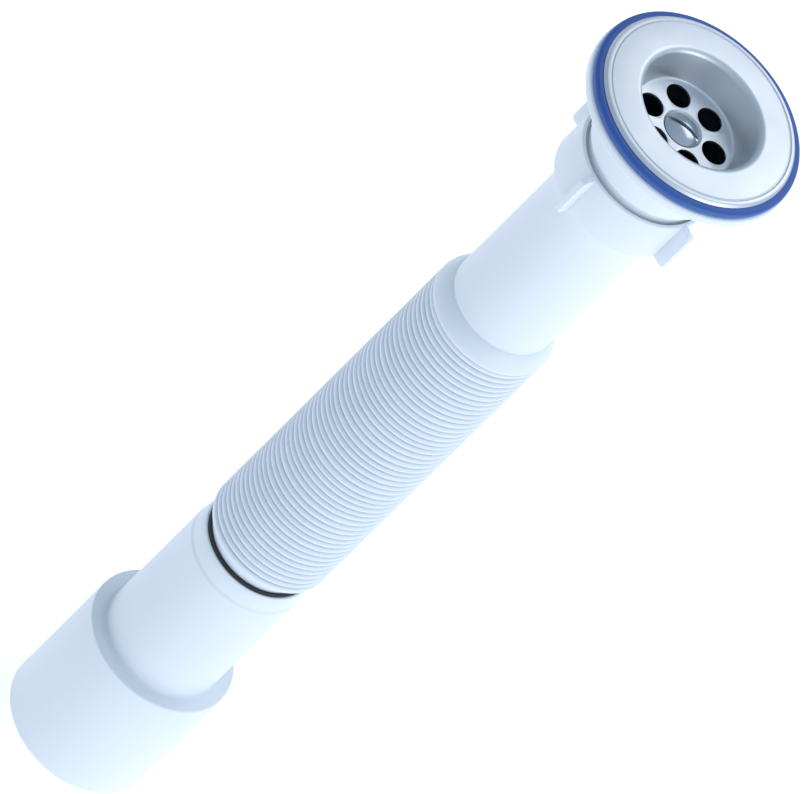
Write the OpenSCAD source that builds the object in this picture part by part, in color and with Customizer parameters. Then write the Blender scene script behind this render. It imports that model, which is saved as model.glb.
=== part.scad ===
// Flexible sink trap with a stretching corrugated pipe.
// The pipe stands on its outlet end, and Z runs up its axis to the strainer.

/* [Outlet adapter] */
// Outside diameter of the large outlet end
outlet_d = 50; // [49.5:0.1:50.5]
// Length of the large outlet end
outlet_l = 49.5; // [40:0.5:60]
// Outside diameter of the smaller step
step_d = 40; // [39.5:0.1:40.5]
// Length of the smaller step up to its rounded lip
step_l = 50.9; // [45:0.1:60]
// Height of the rounded lip round the mouth
lip_h = 6.2; // [5:0.2:7]
// Wall thickness of the adapter
adapter_wall = 2; // [1.8:0.1:2.2]

/* [Corrugated hose] */
// Number of folds
folds = 48; // [30:1:52]
// Height of one closed fold
fold_pitch = 2.6; // [2.4:0.1:3]
// Outside diameter over the folds
hose_d = 41.4; // [40:0.2:43]
// Clear bore of the hose
hose_bore_d = 30; // [28:0.5:31]
// Thickness of the thin hose wall
hose_wall = 0.6; // [0.5:0.05:0.7]
// Width of the groove that shows between two folds
groove_w = 0.6; // [0.5:0.05:0.8]
// Outside diameter of the plain cuff below the folds
cuff_d = 34.8; // [34:0.1:35]
// Height of the solid ring that ends the folds
end_ring_h = 3.1; // [2.8:0.1:5]

/* [Inlet pipe] */
// Outside diameter of the smooth inlet tube
inlet_d = 35; // [34:0.1:35]
// Wall thickness of the inlet tube
inlet_wall = 1.9; // [1.6:0.1:2.1]
// Length from the foot of the shoulder to the top of the collar
inlet_l = 76.5; // [70:0.1:90]
// Height of the sloping shoulder over the hose
shoulder_h = 7; // [6:0.5:9]
// Thickness of the collar that the nut pulls up
collar_h = 2.8; // [2.5:0.1:3]

/* [Union nut] */
// Outside diameter of the nut
nut_d = 44.8; // [44.6:0.1:46]
// Height of the nut
nut_h = 16.4; // [16:0.1:18]
// Diameter across the tips of the wings
wing_span_d = 53.6; // [50:0.2:56]
// Thickness of a wing
wing_t = 2.3; // [2:0.1:3]
// Turn of the first wing about the axis
wing_turn = 69.5; // [0:0.5:90]

/* [Waste body] */
// Crest diameter of the threaded neck
neck_d = 41.6; // [41:0.1:41.6]
// Water bore through the neck
neck_bore_d = 34.6; // [33:0.2:35]
// Diameter of the sealing flange
flange_d = 71; // [70.5:0.5:72]
// Thickness of the sealing flange
flange_t = 3.5; // [3:0.1:4]
// Outside diameter of the bowl under the flange
bowl_d = 46; // [45.8:0.2:48]

/* [Strainer and gasket] */
// Diameter of the strainer rim
strainer_d = 65.6; // [64:0.2:66]
// Thickness of the pressed strainer sheet
sheet_t = 0.8; // [0.6:0.1:0.9]
// Diameter of the cup at its mouth
cup_mouth_d = 40.6; // [39:0.1:40.8]
// Diameter of the cup at its floor
cup_floor_d = 34.7; // [34:0.1:36]
// Depth of the cup floor below the cup's mouth
cup_depth = 11.2; // [9:0.2:11.4]
// Number of drain holes in the floor
hole_count = 6; // [5:1:6]
// Diameter of a drain hole
hole_d = 8.3; // [7:0.1:8.4]
// Outside diameter of the blue gasket
gasket_d = 70.2; // [68:0.2:70.4]
// Thickness of the blue gasket
gasket_t = 2.8; // [2.4:0.1:3]

/* [Hidden] */

// Smoothness of the round faces
$fn = 96;
// Cutters run past the faces that they open by this much
over = 1;
// Facets of a rounded edge in a profile
arc_steps = 6;

// Heights along the axis, from the outlet end up
z_step = outlet_l;
z_lip = z_step + step_l;
z_mouth = z_lip + lip_h;
seal_show = 1.2;
ring_gap = 4.3;
z_seal = z_mouth + seal_show;
z_ring = z_seal + ring_gap;
z_folds = z_ring + end_ring_h;
z_weld = z_folds + folds * fold_pitch;
z_tube = z_weld + shoulder_h;
z_collar = z_weld + inlet_l;
washer_t = 2.5;
z_neck = z_collar + washer_t;
nut_floor = 2.9;
z_nut = z_collar - collar_h - nut_floor;
nut_gap = 3.2;
z_bowl = z_nut + nut_h + nut_gap;
bowl_band_h = 2.4;
bowl_h = 19.1;
z_flange = z_bowl + bowl_h;
z_gasket = z_flange + flange_t;
z_rim = z_gasket + gasket_t;
rim_h = 1.2;
face_rise = 0.8;
z_face = z_rim + rim_h;
z_top = z_face + face_rise;
z_floor = z_top - cup_depth;

// Outlet adapter
outlet_r = outlet_d / 2;
step_r = step_d / 2;
end_lead = 0.6;
step_fillet = 0.6;
lip_r = 19.6;
lip_slope_h = 1.1;
lip_edge_h = 0.6;
lip_mouth_r = 18.75;
seal_seat_r = 18.35;
seal_seat_h = 5;
seal_play = 0.02;
seal_edge = 0.4;

// Hose
crest_r = hose_d / 2;
root_r = hose_bore_d / 2 + hose_wall;
cuff_r = cuff_d / 2;
cuff_tail = 18;
ring_round = 2.2;
crest_round = 0.6;

// Inlet pipe
inlet_r = inlet_d / 2;
inlet_bore_r = inlet_r - inlet_wall;
spigot_r = hose_bore_d / 2 - 0.2;
spigot_wall = 1.5;
spigot_l = 12;
spigot_shelf = 2;
weld_edge = 0.4;
shoulder_foot_h = 1;
shoulder_power = 1.6;
collar_r = 20.2;

// Union nut
nut_r = nut_d / 2;
nut_bore_r = 21.05;
nut_mouth_r = inlet_r + 0.4;
nut_edge = 0.5;
wing_reach = wing_span_d / 2;
wing_round = 1.6;
wing_embed = 1;
wings = 4;

// Waste body
neck_r = neck_d / 2;
neck_bore_r = neck_bore_d / 2;
neck_lead = 0.6;
band_r = 21.6;
band_slope_h = 0.3;
bowl_r = bowl_d / 2;
bowl_bore_r = 21.2;
flange_r = flange_d / 2;
flange_round = 1;
bowl_fillet = 2.5;
bowl_well_h = 9.5;
well_slope_h = 4.5;
boss_r = 6;
boss_lift = 2;
boss_h = 15;
spoke_lift = 3;
spoke_h = 8;
spoke_t = 2.2;
spokes = 4;
insert_r = 4.2;
insert_h = 12;
shank_r = 2.95;
shank_lead = 0.6;
shank_lift = 1;
shank_play = 0.4;
insert_bore_r = 3;

// Strainer and its screw
rim_r = strainer_d / 2;
mouth_r = cup_mouth_d / 2;
floor_r = cup_floor_d / 2;
mouth_round = 2.1;
floor_round = 0.8;
rim_round = 1.1;
rim_bead_w = 2.1;
bead_groove = 0.15;
bead_lead = 0.3;
bead_back_w = 0.6;
gasket_bore_r = 21.6;
hole_pcd_r = 11.6;
hole_turn = 11.4;
dish_r = 6.6;
dish_depth = 0.7;
head_r = 5.8;
head_h = 2.3;
head_edge_h = 0.5;
slot_w = 1.4;
slot_depth = 1.9;

// Points along an arc about a centre in a profile
function arc(cx, cz, r, from, to, steps = arc_steps) =
    [for (i = [0:steps]) let (a = from + (to - from) * i / steps) [cx + r * cos(a), cz + r * sin(a)]];

// Points from the outside radius up to the inside radius: a quarter ellipse at power 1,
// and closer to a straight slope the nearer the power comes to 2
function brow(r_out, r_in, z_low, z_high, power = 1, steps = arc_steps) =
    [for (i = [0:steps]) let (a = 90 * i / steps)
        [r_in + (r_out - r_in) * cos(a) ^ power, z_low + (z_high - z_low) * sin(a) ^ power]];

// A profile turned about the axis
module turned(points) {
    rotate_extrude() polygon(points);
}

// A round bore from one height to another
module bore(r, low, high) {
    translate([0, 0, low]) cylinder(r = r, h = high - low);
}

// Outer outline of one fold, from its lower groove to its upper one
function fold_outside(z) = let (
        low = z + groove_w / 2,
        high = z + fold_pitch - groove_w / 2,
        round_r = crest_r - crest_round) concat(
    [[root_r, low]],
    arc(round_r, low + crest_round, crest_round, -90, 0, 2),
    arc(round_r, high - crest_round, crest_round, 0, 90, 2),
    [[root_r, high]]);

// Inner outline of one fold, from its upper wall down to its lower wall
function fold_inside(z) = let (
        low = z + groove_w / 2 + hose_wall,
        high = z + fold_pitch - groove_w / 2 - hose_wall,
        bore_r = root_r - hose_wall,
        deep_r = crest_r - hose_wall) [
    [bore_r, high], [deep_r, high], [deep_r, low], [bore_r, low]];

module corrugated_hose() {
    outside = [for (i = [0:folds - 1]) each fold_outside(z_folds + i * fold_pitch)];
    inside = [for (i = [folds - 1:-1:0]) each fold_inside(z_folds + i * fold_pitch)];
    bore_r = root_r - hose_wall;
    low_end = concat(
        [[bore_r, z_mouth - cuff_tail], [cuff_r, z_mouth - cuff_tail], [cuff_r, z_ring]],
        arc(crest_r - ring_round, z_ring + ring_round, ring_round, -90, 0),
        [[crest_r, z_folds - groove_w / 2], [root_r, z_folds - groove_w / 2]]);
    top_end = [[root_r, z_weld], [bore_r, z_weld]];
    color("ghostwhite") turned(concat(low_end, outside, top_end, inside));
}

module outlet_adapter() {
    color("white") difference() {
        turned(concat(
            [[0, 0], [outlet_r - end_lead, 0], [outlet_r, end_lead]],
            arc(outlet_r - end_lead, z_step - end_lead, end_lead, 0, 90, 3),
            arc(step_r + step_fillet, z_step + step_fillet, step_fillet, 270, 180, 3),
            [[step_r, z_lip - lip_slope_h], [lip_r, z_lip]],
            brow(lip_r, lip_mouth_r, z_lip + lip_edge_h, z_mouth),
            [[0, z_mouth]]));
        bore(outlet_r - adapter_wall, -over, z_step - adapter_wall);
        bore(step_r - adapter_wall, -over, z_mouth + over);
        bore(seal_seat_r, z_mouth - seal_seat_h, z_mouth + over);
    }
}

module hose_seal() {
    seal_r = seal_seat_r - seal_play;
    color("black") difference() {
        turned(concat(
            [[0, z_mouth - seal_seat_h], [seal_r, z_mouth - seal_seat_h]],
            [[seal_r, z_seal - seal_edge], [seal_r - seal_edge, z_seal], [0, z_seal]]));
        bore(cuff_r + seal_play, z_mouth - seal_seat_h - over, z_seal + over);
    }
}

module inlet_pipe() {
    color("white") difference() {
        turned(concat(
            [[0, z_weld - spigot_l], [spigot_r, z_weld - spigot_l], [spigot_r, z_weld]],
            [[crest_r - weld_edge, z_weld], [crest_r, z_weld + weld_edge]],
            brow(crest_r, inlet_r, z_weld + shoulder_foot_h, z_tube, shoulder_power),
            [[inlet_r, z_collar - collar_h], [collar_r, z_collar - collar_h]],
            [[collar_r, z_collar], [0, z_collar]]));
        bore(spigot_r - spigot_wall, z_weld - spigot_l - over, z_collar + over);
        bore(inlet_bore_r, z_weld + spigot_shelf, z_collar + over);
    }
}

module union_washer() {
    color("dimgray") difference() {
        bore(collar_r, z_collar, z_neck);
        bore(inlet_bore_r, z_collar - over, z_neck + over);
    }
}

// One wing, drawn in its own plane and given its thickness
module wing() {
    root = nut_r - wing_embed;
    rotate([90, 0, 0]) translate([0, 0, -wing_t / 2]) linear_extrude(wing_t)
        polygon(concat(
            [[root, 0]],
            arc(wing_reach - wing_round, wing_round, wing_round, -90, 0),
            arc(wing_reach - wing_round, nut_h - wing_round, wing_round, 0, 90),
            [[root, nut_h]]));
}

module union_nut() {
    color("white") translate([0, 0, z_nut]) difference() {
        union() {
            turned([[0, 0], [nut_r - nut_edge, 0], [nut_r, nut_edge], [nut_r, nut_h - nut_edge],
                    [nut_r - nut_edge, nut_h], [0, nut_h]]);
            for (i = [0:wings - 1])
                rotate(wing_turn + i * 360 / wings) wing();
        }
        bore(nut_mouth_r, -over, nut_h);
        bore(nut_bore_r, nut_floor, nut_h + over);
    }
}

module waste_body() {
    boss_low = z_neck + boss_lift;
    color("white") {
        difference() {
            turned(concat(
                [[0, z_neck], [neck_r - neck_lead, z_neck], [neck_r, z_neck + neck_lead]],
                [[neck_r, z_bowl], [band_r, z_bowl], [band_r, z_bowl + bowl_band_h]],
                [[bowl_r, z_bowl + bowl_band_h + band_slope_h]],
                arc(bowl_r + bowl_fillet, z_flange - bowl_fillet, bowl_fillet, 180, 90),
                arc(flange_r - flange_round, z_flange + flange_round, flange_round, -90, 0),
                arc(flange_r - flange_round, z_gasket - flange_round, flange_round, 0, 90),
                [[0, z_gasket]]));
            bore(neck_bore_r, z_neck - over, z_gasket);
            bore(bowl_bore_r, z_gasket - bowl_well_h, z_gasket + over);
            translate([0, 0, z_gasket - bowl_well_h - well_slope_h])
                cylinder(r1 = neck_bore_r, r2 = bowl_bore_r, h = well_slope_h);
        }
        difference() {
            union() {
                bore(boss_r, boss_low, boss_low + boss_h);
                for (i = [0:spokes - 1])
                    rotate(45 + i * 360 / spokes)
                        translate([0, -spoke_t / 2, z_neck + spoke_lift])
                            cube([neck_bore_r + 1, spoke_t, spoke_h]);
            }
            bore(insert_r, boss_low + boss_h - insert_h, boss_low + boss_h + over);
            bore(shank_r + shank_play, z_neck - over, boss_low + boss_h);
        }
    }
}

module screw_insert() {
    low = z_neck + boss_lift + boss_h - insert_h;
    color("goldenrod") difference() {
        bore(insert_r, low, low + insert_h);
        bore(insert_bore_r, low - over, low + insert_h + over);
    }
}

module flange_gasket() {
    edge_r = gasket_t / 2;
    color("royalblue") turned(concat(
        [[gasket_bore_r, z_rim], [gasket_bore_r, z_gasket]],
        arc(gasket_d / 2 - edge_r, z_gasket + edge_r, edge_r, -90, 90)));
}

// Outer face of the strainer sheet, from the middle of its floor to its rim
function strainer_face() = concat(
    [[0, z_floor - dish_depth], [dish_r - dish_depth, z_floor - dish_depth], [dish_r, z_floor]],
    arc(floor_r - floor_round, z_floor + floor_round, floor_round, -90, 0, 3),
    arc(mouth_r + mouth_round, z_top - mouth_round, mouth_round, 180, 90),
    [[rim_r - rim_bead_w - bead_lead, z_face], [rim_r - rim_bead_w, z_face - bead_groove]],
    arc(rim_r - rim_round, z_face - rim_round, rim_round, 75, 0));

// Back of the sheet, from the rim in to the middle
function strainer_back() = concat(
    [[rim_r, z_rim], [rim_r - rim_bead_w, z_rim]],
    [[rim_r - rim_bead_w - bead_back_w, z_face - sheet_t]],
    arc(mouth_r + mouth_round, z_top - mouth_round, mouth_round - sheet_t, 90, 180, 3),
    [[floor_r + sheet_t, z_floor], [floor_r, z_floor - sheet_t], [dish_r, z_floor - sheet_t]],
    [[dish_r - dish_depth, z_floor - dish_depth - sheet_t], [0, z_floor - dish_depth - sheet_t]]);

module strainer() {
    color("silver") difference() {
        turned(concat(strainer_face(), strainer_back()));
        bore(shank_r + shank_play, z_floor - dish_depth - sheet_t - over, z_floor + over);
        for (i = [0:hole_count - 1])
            rotate(hole_turn + i * 360 / hole_count)
                translate([hole_pcd_r, 0, 0]) bore(hole_d / 2, z_floor - sheet_t - over, z_floor + over);
    }
}

module strainer_screw() {
    seat = z_floor - dish_depth;
    rise = head_h - head_edge_h;
    dome_r = (head_r * head_r + rise * rise) / (2 * rise);
    half = asin(head_r / dome_r);
    shank_low = z_neck + boss_lift + shank_lift;
    color("gainsboro") difference() {
        turned(concat(
            [[0, shank_low], [shank_r - shank_lead, shank_low], [shank_r, shank_low + shank_lead]],
            [[shank_r, seat], [head_r, seat]],
            arc(0, seat + head_h - dome_r, dome_r, 90 - half, 90)));
        rotate(hole_turn)
            translate([-head_r - over, -slot_w / 2, seat + head_h - slot_depth])
                cube([2 * (head_r + over), slot_w, slot_depth + over]);
    }
}

strainer();
strainer_screw();
flange_gasket();
waste_body();
screw_insert();
union_nut();
union_washer();
inlet_pipe();
corrugated_hose();
hose_seal();
outlet_adapter();
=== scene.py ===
"""Looks of a flexible drain trap: strainer, union nut, corrugated pipe and stepped outlet."""
import logging
import math
from collections.abc import Sequence
from dataclasses import dataclass
from enum import Enum

import bmesh
import bpy
import numpy as np
from mathutils import Matrix, Vector


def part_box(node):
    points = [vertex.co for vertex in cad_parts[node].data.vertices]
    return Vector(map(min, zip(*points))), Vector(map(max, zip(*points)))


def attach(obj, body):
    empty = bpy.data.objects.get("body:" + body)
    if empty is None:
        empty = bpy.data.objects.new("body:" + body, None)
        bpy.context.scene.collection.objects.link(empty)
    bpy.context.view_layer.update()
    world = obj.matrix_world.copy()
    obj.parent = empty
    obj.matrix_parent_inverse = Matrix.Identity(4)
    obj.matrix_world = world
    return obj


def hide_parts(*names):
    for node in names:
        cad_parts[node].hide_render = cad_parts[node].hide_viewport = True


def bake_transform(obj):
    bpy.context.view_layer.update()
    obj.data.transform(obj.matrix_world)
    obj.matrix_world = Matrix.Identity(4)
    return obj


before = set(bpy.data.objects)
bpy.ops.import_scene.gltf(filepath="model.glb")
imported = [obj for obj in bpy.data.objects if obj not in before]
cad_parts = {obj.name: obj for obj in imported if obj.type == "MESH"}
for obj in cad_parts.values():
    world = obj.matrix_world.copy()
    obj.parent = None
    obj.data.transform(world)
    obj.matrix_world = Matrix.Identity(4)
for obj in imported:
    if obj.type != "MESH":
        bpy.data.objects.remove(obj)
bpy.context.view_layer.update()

LOG = logging.getLogger("drain_trap")
MM = 0.001
TURN = 2 * math.pi


class Body(Enum):
    """The bodies that move against each other."""

    WASTE = "waste"
    INLET = "inlet"
    NUT = "nut"
    OUTLET = "outlet"


class Slot(Enum):
    """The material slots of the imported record."""

    WHITE = "white_plastic"
    HOSE = "hose_plastic"
    STAINLESS = "stainless_steel"
    POLISHED = "polished_steel"
    BLUE = "blue_rubber"
    BLACK = "black_rubber"
    BRASS = "brass"


def linear(hex_colour: str) -> tuple[float, float, float, float]:
    """Turn an sRGB hex colour into the linear colour that a shader takes.

    Args:
        hex_colour: Six hex digits, such as "f2f5f8".

    Returns:
        Red, green and blue from 0 to 1, with alpha 1.
    """
    parts = [int(hex_colour[i:i + 2], 16) / 255 for i in (0, 2, 4)]
    red, green, blue = (c / 12.92 if c <= 0.04045 else ((c + 0.055) / 1.055) ** 2.4 for c in parts)
    return red, green, blue, 1.0


def add_node(tree: bpy.types.NodeTree, kind: str, settings: dict | None = None,
             links: dict | None = None, **values: object) -> bpy.types.Node:
    """Add one node with its settings, its links and its constant inputs.

    Args:
        tree: The tree that gets the node.
        kind: The node's type name.
        settings: Properties of the node itself.
        links: Input name or number to the output socket that feeds it.
        values: Input name, with spaces as underscores, to a constant.

    Returns:
        The new node.
    """
    made = tree.nodes.new(kind)
    for name, value in (settings or {}).items():
        setattr(made, name, value)
    for name, value in values.items():
        made.inputs[name.replace("_", " ")].default_value = value
    for name, source in (links or {}).items():
        tree.links.new(source, made.inputs[name])
    return made


@dataclass(frozen=True)
class Grain:
    """A bump that a surface carries: its spacing in millimetres and its height.

    Attributes:
        spacing_mm: Distance between two bumps.
        depth_mm: Height of the bump.
        detail: Octaves of finer bumps.
        stretch: Scale of the pattern along X, Y and Z.
    """

    spacing_mm: float
    depth_mm: float
    detail: float = 2.0
    stretch: tuple[float, float, float] = (1.0, 1.0, 1.0)


@dataclass(frozen=True)
class Finish:
    """A finish with one base colour, a slight drift of tone and up to two bumps.

    Attributes:
        name: The material's name.
        colour: Base colour as sRGB hex.
        drift: Second colour that the base drifts to, as sRGB hex.
        drift_mm: Size of the patches of the second colour.
        roughness: Roughness of the shader.
        roughness_swing: How far the roughness varies up and down.
        metallic: 1 on a metal.
        ior: Index of refraction; None keeps the default, as on a metal.
        grains: The bumps.
        specular: Specular level.
        subsurface: Share of light that spreads inside.
        coat: Weight of a clear skin over the colour.
    """

    name: str
    colour: str
    drift: str
    drift_mm: float
    roughness: float
    roughness_swing: float = 0.04
    metallic: float = 0.0
    ior: float | None = 1.49
    grains: tuple[Grain, ...] = ()
    specular: float = 0.5
    subsurface: float = 0.0
    coat: float = 0.0

    def make(self) -> bpy.types.Material:
        """Build the material's nodes.

        Returns:
            The new material.
        """
        material = bpy.data.materials.new(self.name)
        material.use_nodes = True
        tree = material.node_tree
        tree.nodes.clear()
        place = add_node(tree, "ShaderNodeTexCoord").outputs["Object"]
        patches = self._noise(tree, place, Grain(self.drift_mm, 0.0, 3.0))
        tone = add_node(tree, "ShaderNodeMix", {"data_type": "RGBA"}, {"Factor": patches})
        tone.inputs[6].default_value = linear(self.colour)
        tone.inputs[7].default_value = linear(self.drift)
        gloss = add_node(tree, "ShaderNodeMapRange", None, {"Value": patches},
                         To_Min=self.roughness - self.roughness_swing,
                         To_Max=self.roughness + self.roughness_swing)
        shader = add_node(tree, "ShaderNodeBsdfPrincipled", None,
                          {"Base Color": tone.outputs[2], "Roughness": gloss.outputs["Result"]},
                          Metallic=self.metallic, Specular_IOR_Level=self.specular)
        if self.ior is not None:
            shader.inputs["IOR"].default_value = self.ior
        if self.subsurface:
            shader.inputs["Subsurface Weight"].default_value = self.subsurface
            shader.inputs["Subsurface Radius"].default_value = (1.0, 0.9, 0.8)
            shader.inputs["Subsurface Scale"].default_value = 1.5 * MM
        if self.coat:
            shader.inputs["Coat Weight"].default_value = self.coat
            shader.inputs["Coat Roughness"].default_value = 0.15
        self._bumps(tree, place, shader)
        add_node(tree, "ShaderNodeOutputMaterial", None, {"Surface": shader.outputs["BSDF"]})
        return material

    def _noise(self, tree: bpy.types.NodeTree, place: bpy.types.NodeSocket,
               grain: Grain) -> bpy.types.NodeSocket:
        """Add a noise of one spacing and return its value."""
        if grain.stretch != (1.0, 1.0, 1.0):
            place = add_node(tree, "ShaderNodeMapping", None, {"Vector": place},
                             Scale=grain.stretch).outputs["Vector"]
        noise = add_node(tree, "ShaderNodeTexNoise", None, {"Vector": place},
                         Scale=1 / (grain.spacing_mm * MM), Detail=grain.detail)
        return noise.outputs["Fac"]

    def _bumps(self, tree: bpy.types.NodeTree, place: bpy.types.NodeSocket,
               shader: bpy.types.Node) -> None:
        """Chain the grains into the shader's normal."""
        normal = None
        for grain in self.grains:
            links = {"Height": self._noise(tree, place, grain)}
            if normal is not None:
                links["Normal"] = normal
            bump = add_node(tree, "ShaderNodeBump", None, links, Distance=grain.depth_mm * MM)
            normal = bump.outputs["Normal"]
        if normal is not None:
            tree.links.new(normal, shader.inputs["Normal"])


@dataclass(frozen=True)
class Finishes:
    """Every finish of the trap, each named for what it is made of, and one dark material that paints the
    shade inside the bowl.
    """

    # Polypropylene, injection moulded: bright white, satin, and a little translucent at its edges
    moulded: Finish = Finish("moulded_white_polypropylene", "e9edf1", "e5eaef", 40, 0.38,
                             grains=(Grain(9.0, 0.03, 1.0), Grain(0.35, 0.006)),
                             subsurface=0.08)
    # Polypropylene, blown in a corrugated mould: the same white, thinner and a little glossier
    blown: Finish = Finish("blown_white_polypropylene", "e7ecf1", "e1e7ee", 14, 0.36,
                           grains=(Grain(3.5, 0.035, 2.0), Grain(0.4, 0.006)),
                           subsurface=0.12)
    # The same white mouldings inside, in painted shade: hardly any light comes through the drain holes,
    # so the bowl, bore, boss and spokes get a dark colour that stands in for that shade
    inside: Finish = Finish("painted_shade_polypropylene_inside", "2b3036", "22272c", 6, 0.6,
                            specular=0.1, grains=(Grain(0.4, 0.006),))
    # Stainless steel sheet, pressed and blasted to an even satin that hardly mirrors
    stainless: Finish = Finish("satin_stainless_sheet", "dcdfe2", "d5d9dd", 12, 0.42,
                               metallic=1.0, ior=None,
                               grains=(Grain(0.3, 0.004),))
    # Stainless steel, turned and polished: brighter, with fine turning marks
    polished: Finish = Finish("polished_steel", "c6cbd0", "b3b9c0", 3, 0.2,
                              metallic=1.0, ior=None,
                              grains=(Grain(0.25, 0.003, 1.0, (0.2, 1.0, 1.0)),))
    # Rubber, moulded and coloured through: deep blue, satin, with a faint bloom
    blue: Finish = Finish("blue_moulded_rubber", "2f5fae", "2a559f", 8, 0.45, ior=1.52,
                          grains=(Grain(0.5, 0.012), Grain(5.0, 0.03, 1.0)))
    # Black nitrile rubber: matt, with almost no highlight
    black: Finish = Finish("black_nitrile_rubber", "17191c", "101214", 6, 0.6, ior=1.52,
                           grains=(Grain(0.4, 0.01),))
    # Brass, turned: warm yellow with a fine turned grain
    brass: Finish = Finish("turned_brass", "c9a45c", "bd9850", 4, 0.28, metallic=1.0, ior=None,
                           grains=(Grain(0.2, 0.003, 1.0, (1.0, 1.0, 6.0)),))


@dataclass(frozen=True)
class Corner:
    """A corner of a turned outline, in millimetres.

    Attributes:
        r: Distance from the axis.
        z: Height.
        round: Radius that the corner is rounded to.
    """

    r: float
    z: float
    round: float = 0.0


def rounded(corners: Sequence[Corner], closed: bool = True, steps: int = 5) -> list[tuple[float, float]]:
    """Turn corners into points, each rounded corner as an arc.

    Args:
        corners: The outline's corners in order.
        closed: True where the last corner joins the first.
        steps: Steps of each arc.

    Returns:
        Points as (r, z) in millimetres.
    """
    points: list[tuple[float, float]] = []
    count = len(corners)
    for i, corner in enumerate(corners):
        here = Vector((corner.r, corner.z))
        is_end = not closed and i in (0, count - 1)
        if corner.round <= 0 or is_end:
            points.append((here.x, here.y))
            continue
        before = corners[i - 1]
        after = corners[(i + 1) % count]
        back, ahead = Vector((before.r, before.z)) - here, Vector((after.r, after.z)) - here
        half = back.angle(ahead) / 2
        reach = min(corner.round / math.tan(half), 0.49 * back.length, 0.49 * ahead.length)
        start, end = here + back.normalized() * reach, here + ahead.normalized() * reach
        middle = here + (back.normalized() + ahead.normalized()).normalized() * reach / math.cos(half)
        sweep = (start - middle).angle_signed(end - middle)
        for k in range(steps + 1):
            spoke = start - middle
            spoke.rotate(Matrix.Rotation(-sweep * k / steps, 2))
            points.append(tuple(middle + spoke))
    return points


def new_object(name: str, mesh: bpy.types.Mesh) -> bpy.types.Object:
    """Link a mesh into the scene as an object at the origin."""
    made = bpy.data.objects.new(name, mesh)
    bpy.context.scene.collection.objects.link(made)
    return made


def revolve(name: str, outline: Sequence[tuple[float, float]], closed: bool = True,
            segments: int = 160) -> bpy.types.Mesh:
    """Turn an outline about Z.

    Args:
        name: Name of the mesh.
        outline: Points as (r, z) in millimetres.
        closed: True where the last point joins the first.
        segments: Steps round the axis.

    Returns:
        The mesh, in metres, with its faces pointing outwards.
    """
    points = np.array(outline, float) * MM
    angles = np.arange(segments) * TURN / segments
    ring = np.stack([np.cos(angles), np.sin(angles)], 1)
    places = np.concatenate([points[:, None, :1] * ring[None, :, :],
                             np.repeat(points[:, None, 1:], segments, 1)], 2)
    count = len(points)
    spans = count if closed else count - 1
    faces = []
    for i in range(spans):
        low, high = i * segments, (i + 1) % count * segments
        for j in range(segments):
            k = (j + 1) % segments
            faces.append((low + j, low + k, high + k, high + j))
    mesh = bpy.data.meshes.new(name)
    mesh.from_pydata(places.reshape(-1, 3).tolist(), [], faces)
    tidy(mesh)
    return mesh


def tidy(mesh: bpy.types.Mesh, outwards: bool = True) -> None:
    """Merge doubled points and turn the faces outwards."""
    work = bmesh.new()
    work.from_mesh(mesh)
    bmesh.ops.remove_doubles(work, verts=work.verts, dist=1e-7)
    bmesh.ops.dissolve_degenerate(work, edges=work.edges, dist=1e-7)
    if outwards:
        bmesh.ops.recalc_face_normals(work, faces=work.faces)
    work.to_mesh(mesh)
    work.free()


def block(low: Sequence[float], high: Sequence[float], name: str = "block") -> bpy.types.Mesh:
    """Make a box between two corners given in millimetres."""
    work = bmesh.new()
    size = [h - l for l, h in zip(low, high)]
    middle = [(h + l) / 2 for l, h in zip(low, high)]
    bmesh.ops.create_cube(work, size=1.0)
    bmesh.ops.scale(work, vec=[s * MM for s in size], verts=work.verts)
    bmesh.ops.translate(work, vec=[m * MM for m in middle], verts=work.verts)
    mesh = bpy.data.meshes.new(name)
    work.to_mesh(mesh)
    work.free()
    return mesh


def joined(name: str, meshes: Sequence[bpy.types.Mesh]) -> bpy.types.Mesh:
    """Put several meshes into one."""
    work = bmesh.new()
    for mesh in meshes:
        work.from_mesh(mesh)
    mesh = bpy.data.meshes.new(name)
    work.to_mesh(mesh)
    work.free()
    return mesh


def settled(made: bpy.types.Object) -> None:
    """Replace an object's mesh by what its modifiers make of it, and remove them."""
    graph = bpy.context.evaluated_depsgraph_get()
    result = bpy.data.meshes.new_from_object(made.evaluated_get(graph), depsgraph=graph)
    made.modifiers.clear()
    made.data = result


def soften(made: bpy.types.Object, width_mm: float, angle_deg: float = 40, segments: int = 2) -> None:
    """Round the sharp edges of an object and settle it."""
    bevel = made.modifiers.new("edge_round", "BEVEL")
    bevel.width = width_mm * MM
    bevel.segments = segments
    bevel.limit_method = "ANGLE"
    bevel.angle_limit = math.radians(angle_deg)
    bevel.use_clamp_overlap = True
    settled(made)


def cut(made: bpy.types.Object, cutter: bpy.types.Mesh) -> None:
    """Take a cutter away from an object."""
    tool = new_object("cutter", cutter)
    boolean = made.modifiers.new("cut", "BOOLEAN")
    boolean.object = tool
    boolean.solver = "EXACT"
    settled(made)
    bpy.data.objects.remove(tool)


def shaded(made: bpy.types.Object, angle_deg: float = 35) -> None:
    """Shade an object smooth, with creases where faces meet sharply."""
    made.data.shade_smooth()
    made.data.set_sharp_from_angle(angle=math.radians(angle_deg))


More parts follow.
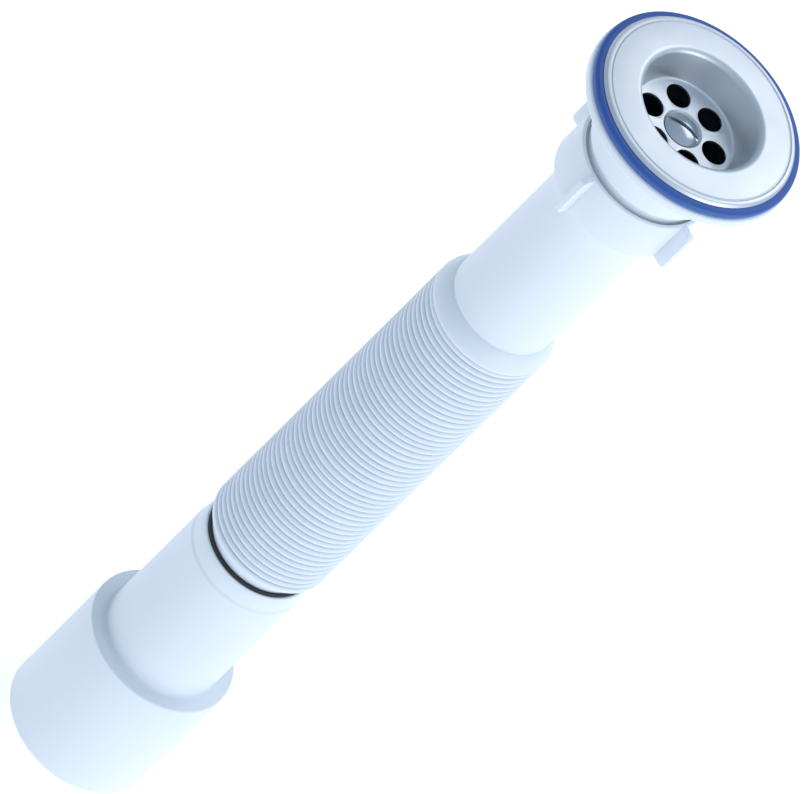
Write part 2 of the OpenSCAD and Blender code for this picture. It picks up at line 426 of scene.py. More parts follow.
class Rule:
    """A Geometry Nodes tree with named inputs, applied to an object and settled."""

    def __init__(self, name: str, inputs: dict[str, str]) -> None:
        """Start the tree.

        Args:
            name: Name of the tree.
            inputs: Input name to its socket type.
        """
        self.tree = bpy.data.node_groups.new(name, "GeometryNodeTree")
        sockets = self.tree.interface
        sockets.new_socket(name="Geometry", in_out="INPUT", socket_type="NodeSocketGeometry")
        for label, kind in inputs.items():
            sockets.new_socket(name=label, in_out="INPUT", socket_type=kind)
        sockets.new_socket(name="Finish", in_out="INPUT", socket_type="NodeSocketMaterial")
        sockets.new_socket(name="Geometry", in_out="OUTPUT", socket_type="NodeSocketGeometry")
        self.start = self.tree.nodes.new("NodeGroupInput")

    def add(self, kind: str, settings: dict | None = None, links: dict | None = None,
            **values: object) -> bpy.types.Node:
        """Add a node to the tree, as add_node does."""
        return add_node(self.tree, kind, settings, links, **values)

    def end(self, source: bpy.types.NodeSocket) -> None:
        """Realize, dress and output what the tree made."""
        real = self.add("GeometryNodeRealizeInstances", None, {"Geometry": source})
        dressed = self.add("GeometryNodeSetMaterial", None,
                           {"Geometry": real.outputs[0], "Material": self.start.outputs["Finish"]})
        self.add("NodeGroupOutput", None, {"Geometry": dressed.outputs[0]})

    def apply(self, made: bpy.types.Object, **values: object) -> None:
        """Run the tree on an object and keep the result as its mesh.

        Args:
            made: The object that holds the starting mesh.
            values: Input name to its value.
        """
        modifier = made.modifiers.new(self.tree.name, "NODES")
        modifier.node_group = self.tree
        for item in self.tree.interface.items_tree:
            if item.in_out == "INPUT" and item.name in values:
                modifier[item.identifier] = values[item.name]
        settled(made)


def stack_rule() -> Rule:
    """Build the rule that repeats one fold along the axis and welds the folds into one skin."""
    rule = Rule("fold_stack", {"Count": "NodeSocketInt", "Pitch": "NodeSocketFloat",
                               "Weld": "NodeSocketFloat"})
    start = rule.start.outputs
    step = rule.add("ShaderNodeCombineXYZ", None, {"Z": start["Pitch"]})
    line = rule.add("GeometryNodeMeshLine", {"mode": "OFFSET"},
                    {"Count": start["Count"], "Offset": step.outputs[0]})
    folds = rule.add("GeometryNodeInstanceOnPoints", None,
                     {"Points": line.outputs[0], "Instance": start["Geometry"]})
    real = rule.add("GeometryNodeRealizeInstances", None, {"Geometry": folds.outputs[0]})
    skin = rule.add("GeometryNodeMergeByDistance", None,
                    {"Geometry": real.outputs[0], "Distance": start["Weld"]})
    rule.end(skin.outputs[0])
    return rule


def ring_rule() -> Rule:
    """Build the rule that repeats a piece evenly round the axis."""
    rule = Rule("ring_of", {"Count": "NodeSocketInt", "First_turn": "NodeSocketFloat"})
    start = rule.start.outputs
    points = rule.add("GeometryNodePoints", None, {"Count": start["Count"]})
    index = rule.add("GeometryNodeInputIndex")
    share = rule.add("ShaderNodeMath", {"operation": "DIVIDE"}, {0: index.outputs[0], 1: start["Count"]})
    angle = rule.add("ShaderNodeMath", {"operation": "MULTIPLY_ADD"},
                     {0: share.outputs[0], 2: start["First_turn"]})
    angle.inputs[1].default_value = TURN
    turn = rule.add("ShaderNodeCombineXYZ", None, {"Z": angle.outputs[0]})
    ring = rule.add("GeometryNodeInstanceOnPoints", None,
                    {"Points": points.outputs[0], "Instance": start["Geometry"],
                     "Rotation": turn.outputs[0]})
    rule.end(ring.outputs[0])
    return rule


def thread_rule() -> Rule:
    """Build the rule that winds a thread ridge of four sides along a helix."""
    rule = Rule("thread_ridge", {"Turns": "NodeSocketFloat", "Radius": "NodeSocketFloat",
                                 "Length": "NodeSocketFloat", "Base": "NodeSocketFloat",
                                 "Crest": "NodeSocketFloat", "Depth": "NodeSocketFloat"})
    start = rule.start.outputs
    helix = rule.add("GeometryNodeCurveSpiral", None,
                     {"Rotations": start["Turns"], "Start Radius": start["Radius"],
                      "End Radius": start["Radius"], "Height": start["Length"]}, Resolution=96)
    ridge = rule.add("GeometryNodeCurvePrimitiveQuadrilateral", {"mode": "TRAPEZOID"},
                     {"Bottom Width": start["Base"], "Top Width": start["Crest"],
                      "Height": start["Depth"]}, Offset=0.0)
    upright = rule.add("GeometryNodeTransform", None, {"Geometry": ridge.outputs[0]},
                       Rotation=(0.0, 0.0, -math.pi / 2))
    wound = rule.add("GeometryNodeCurveToMesh", None,
                     {"Curve": helix.outputs[0], "Profile Curve": upright.outputs[0]}, Fill_Caps=True)
    rule.end(wound.outputs[0])
    return rule


def put(made: bpy.types.Object, body: Body, material: bpy.types.Material,
        replaced: str | None = None) -> bpy.types.Object:
    """Dress a finished piece and let it ride on its body.

    Args:
        made: The piece.
        body: The body that it rides on.
        material: Its material.
        replaced: The node that it stands for, if any.

    Returns:
        The piece.
    """
    made.data.materials.clear()
    made.data.materials.append(material)
    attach(made, body.value)
    if replaced:
        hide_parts(replaced)
    LOG.info("%s: %d faces on %s", made.name, len(made.data.polygons), body.value)
    return made


def dress_node(node: str, material: bpy.types.Material) -> None:
    """Give a node that keeps its own shape its material."""
    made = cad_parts[node]
    if not made.material_slots:
        made.data.materials.append(material)
    for holder in made.material_slots:
        holder.material = material
    LOG.info("%s: keeps its own shape", node)


def heights(node: str) -> tuple[float, float]:
    """Give a node's lowest and highest level in millimetres."""
    low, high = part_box(node)
    return low.z / MM, high.z / MM


def radius(node: str) -> float:
    """Give a node's largest distance from the axis in millimetres."""
    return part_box(node)[1].x / MM


@dataclass
class OutletAdapter:
    """The stepped outlet with its rounded lip, and the seal in its mouth.

    Attributes:
        step_z: Height of the shoulder between the two sizes.
        lip_z: Height where the lip starts.
        step_r: Outside radius of the smaller size.
        wall: Wall thickness.
        mouth_r: Outside radius of the lip at the mouth.
        seat_r: Radius of the seal's seat.
        seat_h: Depth of the seal's seat.
        lip_r: Outside radius of the lip at its foot.
        slope_h: Height of the slope from the step in to the lip.
        lip_edge_h: Height of the lip's straight foot.
    """

    step_z: float = 49.5
    lip_z: float = 100.4
    step_r: float = 20.0
    wall: float = 2.0
    mouth_r: float = 18.75
    seat_r: float = 18.35
    seat_h: float = 5.0
    lip_r: float = 19.6
    slope_h: float = 1.1
    lip_edge_h: float = 0.6

    def outline(self) -> list[tuple[float, float]]:
        """Return the adapter's section."""
        outer = radius("outlet_adapter")
        bottom, mouth = heights("outlet_adapter")
        lip = []
        steps = 12
        for i in range(steps + 1):
            a = math.pi / 2 * i / steps
            foot_z = self.lip_z + self.lip_edge_h
            lip.append(Corner(self.mouth_r + (self.lip_r - self.mouth_r) * math.cos(a),
                              foot_z + (mouth - foot_z) * math.sin(a)))
        return rounded([
            Corner(outer, bottom, 0.6),
            Corner(outer, self.step_z, 0.7),
            Corner(self.step_r, self.step_z, 0.9),
            Corner(self.step_r, self.lip_z - self.slope_h, 1.2),
            Corner(self.lip_r, self.lip_z, 1.2),
            *lip,
            Corner(self.seat_r, mouth),
            Corner(self.seat_r, mouth - self.seat_h),
            Corner(self.step_r - self.wall, mouth - self.seat_h),
            Corner(self.step_r - self.wall, self.step_z - self.wall, 0.5),
            Corner(outer - self.wall, self.step_z - self.wall, 0.5),
            Corner(outer - self.wall, bottom, 0.4),
        ])

    def build(self, moulded: bpy.types.Material, black: bpy.types.Material) -> None:
        """Make the adapter and its seal."""
        adapter = new_object("stepped_outlet", revolve("stepped_outlet", self.outline(), segments=192))
        shaded(adapter)
        put(adapter, Body.OUTLET, moulded, "outlet_adapter")
        low, high = heights("hose_seal")
        outer = radius("hose_seal")
        inner = outer - 0.86
        section = rounded([Corner(inner, low, 0.1), Corner(outer, low, 0.1),
                           Corner(outer, high, 0.35), Corner(inner, high, 0.2)])
        seal = new_object("mouth_seal", revolve("mouth_seal", section, segments=160))
        shaded(seal)
        put(seal, Body.OUTLET, black, "hose_seal")


@dataclass
class CorrugatedHose:
    """The blown bellows with its end ring and the plain cuff below it.

    Attributes:
        folds: Number of folds.
        pitch: Height of one closed fold.
        crest_r: Outside radius over the folds.
        root_r: Outside radius at the bottom of a groove.
        wall: Thickness of the hose.
        groove: Width of the groove between two folds.
        cuff_r: Outside radius of the cuff.
        ring_z: Height of the end ring's lower face.
        ring_round: Round of the end ring's lower edge.
        drift: How far the folds are out of step with each other.
    """

    folds: int = 48
    pitch: float = 2.6
    crest_r: float = 20.7
    root_r: float = 15.6
    wall: float = 0.6
    groove: float = 0.5
    cuff_r: float = 17.4
    ring_z: float = 112.1
    ring_round: float = 2.2
    drift: float = 0.16
    segments: int = 112

    def fold_outside(self) -> list[tuple[float, float]]:
        """Return the outer skin of one fold, from its lower root to its upper one."""
        low, high = self.groove / 2, self.pitch - self.groove / 2
        crest = (high - low) / 2
        steps = 8
        arc = [(self.crest_r - crest + crest * math.sin(math.pi * i / steps),
                self.pitch / 2 - crest * math.cos(math.pi * i / steps)) for i in range(steps + 1)]
        return [(self.root_r, 0.0), (self.root_r + 0.2, low), *arc,
                (self.root_r + 0.2, high), (self.root_r, self.pitch)]

    def fold_inside(self) -> list[tuple[float, float]]:
        """Return the inner skin of one fold, from its lower edge to its upper one."""
        low = self.groove / 2 + self.wall
        high = self.pitch - low
        deep = self.crest_r - self.wall
        bore = self.root_r - self.wall
        return [(bore, 0.0), (bore + 0.1, low), (deep, low + 0.2), (deep, high - 0.2),
                (bore + 0.1, high), (bore, self.pitch)]

    def ends(self, low: float, folds_z: float) -> list[list[tuple[float, float]]]:
        """Return the skin of the end ring and the cuff, and the closing ring at the top."""
        bore = self.root_r - self.wall
        ring = rounded([
            Corner(bore, folds_z),
            Corner(bore, low, 0.1),
            Corner(self.cuff_r, low, 0.3),
            Corner(self.cuff_r, self.ring_z, 0.25),
            Corner(self.crest_r, self.ring_z, self.ring_round),
            Corner(self.crest_r, folds_z - self.groove / 2, 0.8),
            Corner(self.root_r, folds_z - self.groove / 2, 0.2),
            Corner(self.root_r, folds_z),
        ], closed=False, steps=8)
        top = folds_z + self.folds * self.pitch
        return [ring, [(self.root_r, top), (bore, top)]]

    def uneven(self, mesh: bpy.types.Mesh, low: float, high: float) -> None:
        """Let the folds stand slightly out of step, as blown folds do, with the ends in place."""
        places = np.zeros(len(mesh.vertices) * 3)
        mesh.vertices.foreach_get("co", places)
        places = places.reshape(-1, 3)
        share = np.clip((places[:, 2] / MM - low) / (high - low), 0, 1)
        fade = np.sin(np.pi * share)
        around = np.arctan2(places[:, 1], places[:, 0])
        wave = (np.sin(share * 41 + 0.7) + 0.8 * np.sin(share * 97 + 2.1 + 0.6 * np.sin(around))
                + 0.7 * np.sin(share * 23 + around + 1.3))
        places[:, 2] += self.drift * MM * fade * wave
        mesh.vertices.foreach_set("co", places.ravel())

    def build(self, rule: Rule, blown: bpy.types.Material) -> None:
        """Make the hose, which stretches between the inlet pipe and the outlet.

        Args:
            rule: The rule that stacks the folds.
            blown: The hose's material.
        """
        low, high = heights("corrugated_hose")
        folds_z = high - self.folds * self.pitch
        skins = [revolve("fold", skin, closed=False, segments=self.segments)
                 for skin in (self.fold_outside(), self.fold_inside())]
        hose = new_object("bellows_hose", joined("bellows_hose", skins))
        rule.apply(hose, Count=self.folds, Pitch=self.pitch * MM, Weld=1e-6, Finish=blown)
        hose.data.transform(Matrix.Translation((0, 0, folds_z * MM)))
        ends = [revolve("end", skin, closed=False, segments=self.segments)
                for skin in self.ends(low, folds_z)]
        hose.data = joined("bellows_hose", [hose.data, *ends])
        tidy(hose.data)
        self.uneven(hose.data, folds_z, high)
        shaded(hose, 60)
        hose.data.materials.clear()
        hose.data.materials.append(blown)
        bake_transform(hose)
        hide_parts("corrugated_hose")
        LOG.info("%s: %d faces between inlet and outlet", hose.name, len(hose.data.polygons))


@dataclass
class InletPipe:
    """The smooth tube with its collar, its shoulder over the hose and its inner spigot.

    Attributes:
        tube_r: Outside radius of the tube.
        wall: Wall thickness of the tube.
        shoulder_h: Height of the sloping shoulder.
        shoulder_r: Outside radius of the shoulder.
        spigot_r: Outside radius of the inner spigot.
        spigot_wall: Wall thickness of the spigot.
        spigot_l: Length of the spigot.
        collar_h: Thickness of the collar.
        foot_h: Height of the shoulder's upright foot.
        slope_power: 1 for a quarter ellipse, and closer to a straight slope up to 2.
    """

    tube_r: float = 17.5
    wall: float = 1.9
    shoulder_h: float = 7.0
    shoulder_r: float = 20.7
    spigot_r: float = 14.8
    spigot_wall: float = 1.5
    spigot_l: float = 12.0
    collar_h: float = 2.8
    foot_h: float = 1.0
    slope_power: float = 1.6

    def outline(self) -> list[tuple[float, float]]:
        """Return the pipe's section."""
        low, top = heights("inlet_pipe")
        weld = low + self.spigot_l
        collar_r = 20.2
        brow = []
        steps = 14
        for i in range(steps):
            a = math.pi / 2 * i / steps
            out, up = math.cos(a) ** self.slope_power, math.sin(a) ** self.slope_power
            brow.append(Corner(self.tube_r + (self.shoulder_r - self.tube_r) * out,
                               weld + self.foot_h + (self.shoulder_h - self.foot_h) * up))
        bore = self.tube_r - self.wall
        spigot_bore = self.spigot_r - self.spigot_wall
        return rounded([
            Corner(spigot_bore, low, 0.3),
            Corner(self.spigot_r, low, 0.3),
            Corner(self.spigot_r, weld),
            Corner(self.shoulder_r, weld, 0.4),
            *brow,
            Corner(self.tube_r, weld + self.shoulder_h, 1.2),
            Corner(self.tube_r, top - self.collar_h, 0.3),
            Corner(collar_r, top - self.collar_h, 0.3),
            Corner(collar_r, top, 0.3),
            Corner(bore, top, 0.3),
            Corner(bore, weld + 2, 0.5),
            Corner(spigot_bore, weld + 2, 0.5),
        ])

    def build(self, moulded: bpy.types.Material) -> None:
        """Make the inlet pipe."""
        pipe = new_object("smooth_inlet_tube", revolve("smooth_inlet_tube", self.outline(), segments=192))
        shaded(pipe)
        put(pipe, Body.INLET, moulded, "inlet_pipe")


@dataclass
class UnionNut:
    """The nut that joins the waste body and the inlet pipe, with its four wings.

    Attributes:
        body_r: Outside radius of the nut.
        bore_r: Radius of the threaded bore.
        mouth_r: Radius of the hole that the tube passes through.
        floor: Thickness of the nut's floor.
        wing_r: Radius at a wing's tip.
        wing_t: Thickness of a wing.
        wings: Number of wings.
        first_turn: Angle of the first wing in degrees.
        pitch: Pitch of the thread.
        ridge: Depth of the thread; not used.
    """

    body_r: float = 22.4
    bore_r: float = 21.05
    mouth_r: float = 17.9
    floor: float = 2.9
    wing_r: float = 26.8
    wing_t: float = 2.3
    wings: int = 4
    first_turn: float = 69.5
    pitch: float = 2.309
    ridge: float = 0.5

    def ring(self, low: float, high: float) -> bpy.types.Mesh:
        """Return the turned body of the nut."""
        return revolve("nut_ring", rounded([
            Corner(self.body_r, low, 0.6),
            Corner(self.body_r, high, 0.5),
            Corner(self.bore_r, high, 0.35),
            Corner(self.bore_r, low + self.floor, 0.3),
            Corner(self.mouth_r, low + self.floor, 0.2),
            Corner(self.mouth_r, low, 0.4),
        ]), segments=160)

    def wing(self, low: float, high: float) -> bpy.types.Mesh:
        """Return one wing with rounded corners and edges."""
        root = self.body_r - 0.6
        outline = rounded([Corner(root, low + 0.02), Corner(self.wing_r, low + 0.02, 1.6),
                           Corner(self.wing_r, high - 0.02, 1.6), Corner(root, high - 0.02)], steps=6)
        work = bmesh.new()
        sides = []
        for side in (-1, 1):
            ring = [work.verts.new((r * MM, side * self.wing_t / 2 * MM, z * MM)) for r, z in outline]
            sides.append(ring)
            work.faces.new(ring)
        count = len(outline)
        for i in range(count):
            j = (i + 1) % count
            work.faces.new((sides[0][i], sides[0][j], sides[1][j], sides[1][i]))
        bmesh.ops.recalc_face_normals(work, faces=work.faces)
        rims = [e for e in work.edges if e.calc_face_angle(0) > math.radians(60)]
        bmesh.ops.bevel(work, geom=rims, offset=0.35 * MM, segments=3, profile=0.5, affect="EDGES")
        mesh = bpy.data.meshes.new("wing")
        work.to_mesh(mesh)
        work.free()
        return mesh

    def build(self, ring_of: Rule, thread: Rule, moulded: bpy.types.Material) -> None:
        """Make the nut.

        Args:
            ring_of: The rule that repeats the wings.
            thread: The rule that winds the thread.
            moulded: The nut's material.
        """
        low, high = heights("union_nut")
        nut = new_object("winged_nut", self.wing(low, high))
        ring_of.apply(nut, Count=self.wings, First_turn=math.radians(self.first_turn), Finish=moulded)
        length = high - low - self.floor - 3
        inner = new_object("nut_thread", bpy.data.meshes.new("nut_thread"))
        thread.apply(inner, Turns=length / self.pitch, Radius=self.bore_r * MM, Length=length * MM,
                     Base=1.6 * MM, Crest=0.5 * MM, Depth=0.3 * MM, Finish=moulded)
        inner.data.transform(Matrix.Translation((0, 0, (low + self.floor + 1.5) * MM)))
        nut.data = joined("winged_nut", [nut.data, self.ring(low, high), inner.data])
        bpy.data.objects.remove(inner)
        shaded(nut)
        put(nut, Body.NUT, moulded, "union_nut")


@dataclass
class WasteBody:
    """The flange, bowl and threaded neck that sit under the sink.

    Attributes:
        neck_r: Crest radius of the thread; not used.
        root_r: Root radius of the thread.
        neck_bore: Radius of the water bore.
        band_r: Radius of the band above the nut.
        band_z: Height of the band's lower face.
        band_h: Height of the band.
        thread_top: Height where the thread runs out, inside the tight nut.
        bowl_r: Outside radius of the bowl.
        well_r: Inside radius of the bowl.
        well_h: Depth of the bowl's straight wall.
        slope_h: Height of the slope down to the bore.
        flange_t: Thickness of the flange.
        spokes: Number of spokes that hold the boss.
        pitch: Pitch of the thread.
    """

    neck_r: float = 20.8
    root_r: float = 20.0
    neck_bore: float = 17.3
    band_r: float = 21.6
    band_z: float = 330.4
    band_h: float = 2.4
    thread_top: float = 326.2
    bowl_r: float = 23.0
    well_r: float = 21.2
    well_h: float = 9.5
    slope_h: float = 4.5
    flange_t: float = 3.5
    spokes: int = 4
    pitch: float = 2.309

    def shell(self) -> bpy.types.Mesh:
        """Return the turned shell."""
        low, top = heights("waste_body")
        rim = radius("waste_body")
        under = top - self.flange_t
        return revolve("waste_shell", rounded([
            Corner(self.root_r, low, 0.5),
            Corner(self.root_r, self.band_z, 0.2),
            Corner(self.band_r, self.band_z, 0.35),
            Corner(self.band_r, self.band_z + self.band_h, 0.15),
            Corner(self.bowl_r, self.band_z + self.band_h + 0.3, 0.2),
            Corner(self.bowl_r, under, 2.5),
            Corner(rim, under, 1.0),
            Corner(rim, top, 0.9),
            Corner(self.well_r, top, 0.3),
            Corner(self.well_r, top - self.well_h, 0.6),
            Corner(self.neck_bore, top - self.well_h - self.slope_h, 0.6),
            Corner(self.neck_bore, low, 0.4),
        ]), segments=192)

    def paint_shade_inside(self, body: bpy.types.Object, inside: bpy.types.Material) -> None:
        """Paint shade on the walls of the bowl and the bore, the boss and the spokes, with the dark
        material that stands in for the shade inside.
        """
        _, top = heights("waste_body")
        # Faces inside the bowl and the bore get the second material, a painted shade over the white
        # polypropylene
        body.data.materials.append(inside)
        for face in body.data.polygons:
            out = math.hypot(face.center.x, face.center.y) / MM
            z = face.center.z / MM
            in_well = out < self.well_r + 0.1 and top - self.well_h - self.slope_h < z < top - 0.5
            if in_well or out < self.neck_bore + 0.1:
                face.material_index = 1

    def build(self, ring_of: Rule, thread: Rule, moulded: bpy.types.Material,
              inside: bpy.types.Material) -> None:
        """Make the waste body.

        Args:
            ring_of: The rule that repeats the spokes.
            thread: The rule that winds the thread.
            moulded: The body's material.
            inside: The dark material that paints the shade on its inside.
        """
        low, _ = heights("waste_body")
        insert_low, insert_high = heights("screw_insert")
        insert_r = radius("screw_insert")
        boss = revolve("boss", rounded([
            Corner(3.4, low + 2, 0.3), Corner(6.0, low + 2, 0.5), Corner(6.0, insert_high, 0.4),
            Corner(insert_r, insert_high, 0.1), Corner(insert_r, insert_low), Corner(3.4, insert_low)]),
            segments=64)
        spoke = new_object("spokes", block((5.5, -1.1, low + 3), (self.neck_bore + 0.5, 1.1, low + 11)))
        ring_of.apply(spoke, Count=self.spokes, First_turn=math.radians(45), Finish=moulded)
        length = self.thread_top - low - 1.2
        ridge = new_object("neck_thread", bpy.data.meshes.new("neck_thread"))
        thread.apply(ridge, Turns=length / self.pitch, Radius=(self.root_r + 0.38) * MM,
                     Length=length * MM, Base=1.9 * MM, Crest=0.5 * MM, Depth=0.8 * MM, Finish=moulded)
        ridge.data.transform(Matrix.Translation((0, 0, (low + 1.2) * MM)))
        body = new_object("flanged_waste_body",
                          joined("flanged_waste_body", [self.shell(), boss, spoke.data, ridge.data]))
        bpy.data.objects.remove(spoke)
        bpy.data.objects.remove(ridge)
        shaded(body)
        put(body, Body.WASTE, moulded, "waste_body")
        # Paint the shade inside the bowl and the bore
        self.paint_shade_inside(body, inside)


@dataclass
class StrainerSet:
    """The strainer cup, its screw and the blue gasket.

    Attributes:
        mouth_r: Radius of the cup at its mouth.
        floor_r: Radius of the cup at its floor.
        mouth_round: Round of the cup's mouth.
        depth: Depth of the floor below the mouth.
        rise: How far the face rises from the rim to the mouth.
        sheet: Thickness of the sheet.
        bead: Width of the rounded bead at the rim.
        holes: Number of holes.
        hole_r: Radius of a hole.
        pitch_r: Radius of the circle that the holes stand on.
        turn: Angle of the first hole, and of the screw's slot, in degrees.
        dish_r: Radius of the dish that the screw sits in.
        dish: Depth of that dish.
        slot_depth: Depth of the screw's slot.
        gasket_bore: Radius of the hole in the gasket.
    """

    mouth_r: float = 20.3
    mouth_round: float = 2.1
    floor_r: float = 17.35
    depth: float = 11.2
    rise: float = 0.8
    sheet: float = 0.8
    bead: float = 2.1
    holes: int = 6
    hole_r: float = 4.15
    pitch_r: float = 11.6
    turn: float = 11.4
    dish_r: float = 6.6
    dish: float = 0.7
    slot_depth: float = 1.9
    gasket_bore: float = 21.6

    def cup(self) -> bpy.types.Object:
        """Return the cup with its holes."""
        _, top = heights("strainer")
        rim = radius("strainer")
        floor_z = top - self.depth
        face = top - self.rise
        seat = face - 1.2
        cup = new_object("strainer_cup", revolve("strainer_cup", rounded([
            Corner(3.25, floor_z - self.dish),
            Corner(self.dish_r - self.dish, floor_z - self.dish, 0.4),
            Corner(self.dish_r, floor_z, 0.4),
            Corner(self.floor_r, floor_z, 0.9),
            Corner(self.mouth_r, top, self.mouth_round),
            Corner(rim - self.bead - 0.45, face, 0.25),
            Corner(rim - self.bead, face - 0.22, 0.12),
            Corner(rim - self.bead + 0.4, face, 0.3),
            Corner(rim - 0.75, face - 0.12, 0.6),
            Corner(rim, seat + 0.1, 0.3),
            Corner(rim - 0.2, seat),
            Corner(rim - self.bead, seat, 0.2),
            Corner(rim - self.bead - 0.6, face - self.sheet, 0.2),
            Corner(self.mouth_r + self.sheet, top - self.sheet, self.mouth_round - self.sheet),
            Corner(self.floor_r + self.sheet, floor_z - self.sheet, 1.2),
            Corner(self.dish_r + 0.4, floor_z - self.sheet, 0.3),
            Corner(self.dish_r - 0.4, floor_z - self.dish - self.sheet, 0.3),
            Corner(3.25, floor_z - self.dish - self.sheet),
        ], steps=6), segments=192))
        for i in range(self.holes):
            angle = math.radians(self.turn + i * 360 / self.holes)
            punch = revolve("punch", [(0, floor_z - 3), (self.hole_r, floor_z - 3),
                                      (self.hole_r, floor_z + 3), (0, floor_z + 3)],
                            closed=False, segments=64)
            punch.transform(Matrix.Translation((self.pitch_r * MM * math.cos(angle),
                                                self.pitch_r * MM * math.sin(angle), 0)))
            cut(cup, punch)
        soften(cup, 0.2, angle_deg=60, segments=2)
        shaded(cup, 40)
        return cup

    def screw(self) -> bpy.types.Object:
        """Return the screw with its slotted dome."""
        low, top = heights("strainer_screw")
        head_r = radius("strainer_screw")
        seat = top - 2.3
        edge_h = 0.5
        rise = top - seat - edge_h
        dome_r = (head_r ** 2 + rise ** 2) / (2 * rise)
        half = math.asin(head_r / dome_r)
        steps = 14
        dome = [(dome_r * math.sin(half * (1 - i / steps)),
                 top - dome_r + dome_r * math.cos(half * (1 - i / steps))) for i in range(steps + 1)]
        shank_r = 2.95
        outline = [(0.0, low), (shank_r - 0.5, low), (shank_r, low + 0.5), (shank_r, seat),
                   (head_r - 0.25, seat), (head_r, seat + 0.2), *dome]
        screw = new_object("slotted_screw", revolve("slotted_screw", outline, closed=False, segments=96))
        slot = block((-head_r - 1, -0.7, top - self.slot_depth), (head_r + 1, 0.7, top + 1))
        slot.transform(Matrix.Rotation(math.radians(self.turn), 4, "Z"))
        cut(screw, slot)
        soften(screw, 0.12, angle_deg=55, segments=2)
        shaded(screw, 40)
        return screw

    def gasket(self) -> bpy.types.Object:
        """Return the gasket with its half-round edge."""
        low, top = heights("flange_gasket")
        outer = radius("flange_gasket")
        edge = (top - low) / 2
        gasket = new_object("blue_gasket", revolve("blue_gasket", rounded([
            Corner(self.gasket_bore, low, 0.3), Corner(outer, low, edge), Corner(outer, top, edge),
            Corner(self.gasket_bore, top, 0.3)], steps=8), segments=192))
        shaded(gasket, 60)
        return gasket

    def build(self, stainless: bpy.types.Material, polished: bpy.types.Material,
              blue: bpy.types.Material) -> None:
        """Make the strainer, its screw and its gasket."""
        put(self.cup(), Body.WASTE, stainless, "strainer")
        put(self.screw(), Body.WASTE, polished, "strainer_screw")
        put(self.gasket(), Body.WASTE, blue, "flange_gasket")


@dataclass
class PhotoCamera:
    """The camera at the photograph's viewing angle.

    Attributes:
        elevation: Angle above the plane across the pipe, in degrees.
        roll: Angle from the image's right to the pipe's axis, in degrees.
        distance: Distance from the point that it looks at, in metres.
        focus_px: Focal length in pixels of the photograph.
        frame_px: Width and height of the photograph.
        anchor_z: Height on the axis that is seen at anchor_px, in millimetres.
        anchor_px: Where the photograph shows that point.
        sensor: Sensor width in millimetres.
    """

    elevation: float = 43.4
    roll: float = 44.6
    distance: float = 6.2
    focus_px: float = 20900.0
    frame_px: tuple[int, int] = (810, 794)
    anchor_z: float = 188.8
    anchor_px: tuple[float, float] = (402.7, 404.7)
    sensor: float = 36.0

    def build(self) -> None:
        """Make the camera and set it as the scene's own."""
        tilt, roll = math.radians(self.elevation), math.radians(self.roll)
        back = Vector((0, -math.cos(tilt), math.sin(tilt)))
        up_pipe = Vector((0, math.sin(tilt), math.cos(tilt)))
        across = Vector((1, 0, 0))
        right = across * math.sin(roll) + up_pipe * math.cos(roll)
        upward = up_pipe * math.sin(roll) - across * math.cos(roll)
        data = bpy.data.cameras.new("photo_camera")
        data.sensor_width = self.sensor
        data.lens = self.focus_px * self.sensor / self.frame_px[0]
        data.clip_start, data.clip_end = 0.1, 100.0
        camera = bpy.data.objects.new("photo_camera", data)
        bpy.context.scene.collection.objects.link(camera)
        per_px = self.distance / self.focus_px
        aside = (self.frame_px[0] / 2 - self.anchor_px[0]) * per_px
        above = (self.anchor_px[1] - self.frame_px[1] / 2) * per_px
        place = Vector((0, 0, self.anchor_z * MM)) + back * self.distance
        place += right * aside + upward * above
        turned = Matrix((right, upward, back)).transposed().to_4x4()
        camera.matrix_world = Matrix.Translation(place) @ turned
        bpy.context.scene.camera = camera


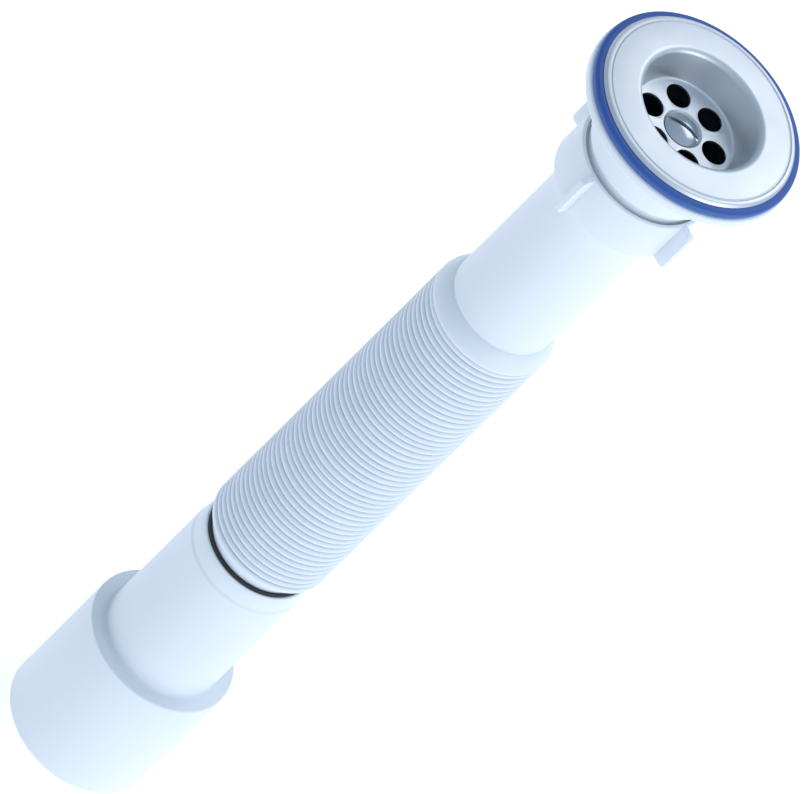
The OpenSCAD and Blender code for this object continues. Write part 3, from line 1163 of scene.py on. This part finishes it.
@dataclass
class Studio:
    """The white floor, the even sky and the large soft lamp to the right.

    Attributes:
        sky: Colour of the even light, as sRGB hex.
        sky_left: Strength of the even light from the left.
        sky_right: Strength of the even light from the right.
        floor_glow: Light that the floor gives off, so that it stays white.
        key_watts: Power of the lamp on the right.
        key_size: Width of that lamp in metres.
        back_watts: Power of the lamp that the strainer's face mirrors.
        back_size: Width of that lamp in metres.
    """

    sky: str = "c8dcf2"
    sky_left: float = 0.6
    sky_right: float = 1.0
    floor_glow: float = 0.5
    key_watts: float = 15.0
    key_size: float = 1.6
    back_watts: float = 16.0
    back_size: float = 2.0

    def lamp(self, name: str, place: Sequence[float], watts: float, size: float,
             colour: str = "ffffff") -> None:
        """Hang a square lamp that faces the middle of the pipe."""
        data = bpy.data.lights.new(name, "AREA")
        data.energy = watts
        data.size = size
        data.color = linear(colour)[:3]
        lamp = bpy.data.objects.new(name, data)
        lamp.location = place
        aim = Vector((0, 0, 0.18)) - Vector(place)
        lamp.rotation_euler = aim.to_track_quat("-Z", "Y").to_euler()
        bpy.context.scene.collection.objects.link(lamp)

    def floor(self) -> None:
        """Lay the plain floor that the outlet stands on."""
        half = 30.0
        mesh = bpy.data.meshes.new("floor")
        corners = [(-half, -half, 0), (half, -half, 0), (half, half, 0), (-half, half, 0)]
        mesh.from_pydata(corners, [], [(0, 1, 2, 3)])
        floor = new_object("floor", mesh)
        material = bpy.data.materials.new("white_floor")
        material.use_nodes = True
        shader = material.node_tree.nodes["Principled BSDF"]
        shader.inputs["Base Color"].default_value = linear("f4f6f8")
        shader.inputs["Roughness"].default_value = 0.9
        shader.inputs["Emission Color"].default_value = linear("ffffff")
        shader.inputs["Emission Strength"].default_value = self.floor_glow
        mesh.materials.append(material)
        floor.location.z = -0.2 * MM

    def build(self) -> None:
        """Make the floor, the sky and the lamps."""
        self.floor()
        world = bpy.data.worlds.new("even_sky")
        world.use_nodes = True
        tree = world.node_tree
        side = add_node(tree, "ShaderNodeSeparateXYZ", None,
                        {0: add_node(tree, "ShaderNodeTexCoord").outputs["Object"]})
        strength = add_node(tree, "ShaderNodeMapRange", None, {"Value": side.outputs["X"]},
                            From_Min=-1.0, To_Min=self.sky_left, To_Max=self.sky_right)
        sky = tree.nodes["Background"]
        sky.inputs["Color"].default_value = linear(self.sky)
        tree.links.new(strength.outputs["Result"], sky.inputs["Strength"])
        bpy.context.scene.world = world
        self.lamp("key_right", (2.2, -0.9, 0.9), self.key_watts, self.key_size)
        self.lamp("high_back", (0.7, 2.2, 2.4), self.back_watts, self.back_size)
        bpy.context.scene.view_settings.view_transform = "Standard"


def main() -> None:
    """Build the camera, the trap and the studio, in that order."""
    logging.basicConfig(level=logging.INFO, format="%(name)s: %(message)s")
    finishes = Finishes()
    moulded, blown = finishes.moulded.make(), finishes.blown.make()
    black = finishes.black.make()
    ring_of, thread = ring_rule(), thread_rule()
    PhotoCamera().build()
    OutletAdapter().build(moulded, black)
    CorrugatedHose().build(stack_rule(), blown)
    InletPipe().build(moulded)
    UnionNut().build(ring_of, thread, moulded)
    # The last material paints the shade inside the bowl and the bore
    WasteBody().build(ring_of, thread, moulded, finishes.inside.make())
    StrainerSet().build(finishes.stainless.make(), finishes.polished.make(), finishes.blue.make())
    dress_node("union_washer", black)
    dress_node("screw_insert", finishes.brass.make())
    Studio().build()


if __name__ == "__main__":
    main()
